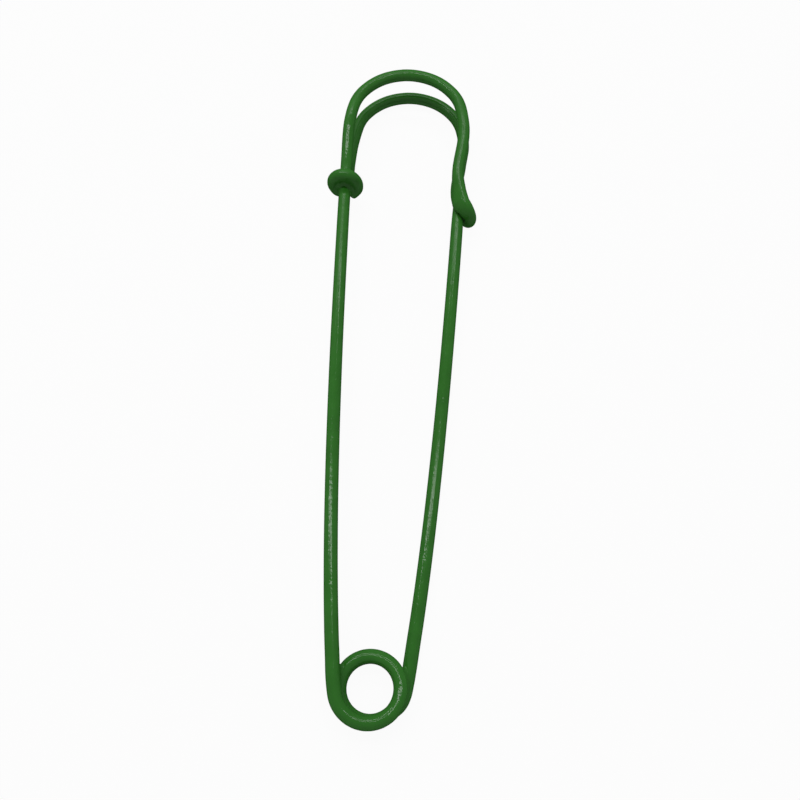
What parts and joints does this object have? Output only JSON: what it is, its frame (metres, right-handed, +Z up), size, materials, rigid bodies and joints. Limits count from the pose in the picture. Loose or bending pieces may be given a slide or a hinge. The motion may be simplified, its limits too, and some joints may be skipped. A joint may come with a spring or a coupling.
{
  "type": "safety pin",
  "caption": "Large dark green wire safety pin: a pointed arm swings from a spring coil and latches under a bent catch in the arched wire head.",
  "frame": {"origin": "under the middle of the whole pin, on the table that it lies on", "axes": "+Y runs from the spring coil to the arched head, +X is the side of the pointed arm, +Z is up from the table"},
  "size_m": [0.0286, 0.1242, 0.0089],
  "materials": {
    "green_coat": "gloss"
  },
  "bodies": {
    "frame": {"spine_leg": "green_coat", "front_rail": "green_coat", "catch_hook": "green_coat", "rear_rail": "green_coat", "collar_wrap": "green_coat", "spring_coil": "green_coat"},
    "coil_end": {"arm_root": "green_coat"},
    "arm": {"pin_arm": "green_coat", "pin_point": "green_coat"}
  },
  "joints": [
    {"name": "arm_swing", "type": "hinge", "parent": "frame", "child": "coil_end", "pos_m": [0.00007, -0.0559, 0.003], "axis": [0, 0, -1], "range_deg": [0, 18], "deforming": ["spring_coil"]},
    {"name": "tip_release", "type": "hinge", "parent": "coil_end", "child": "arm", "pos_m": [0.00681, -0.04484, 0.00141], "axis": [0.0503, 0.9876, 0.1485], "range_deg": [0, 360]}
  ],
  "couplings": [
    {"joint": "tip_release", "follows": "arm_swing", "ratio": 20}
  ]
}
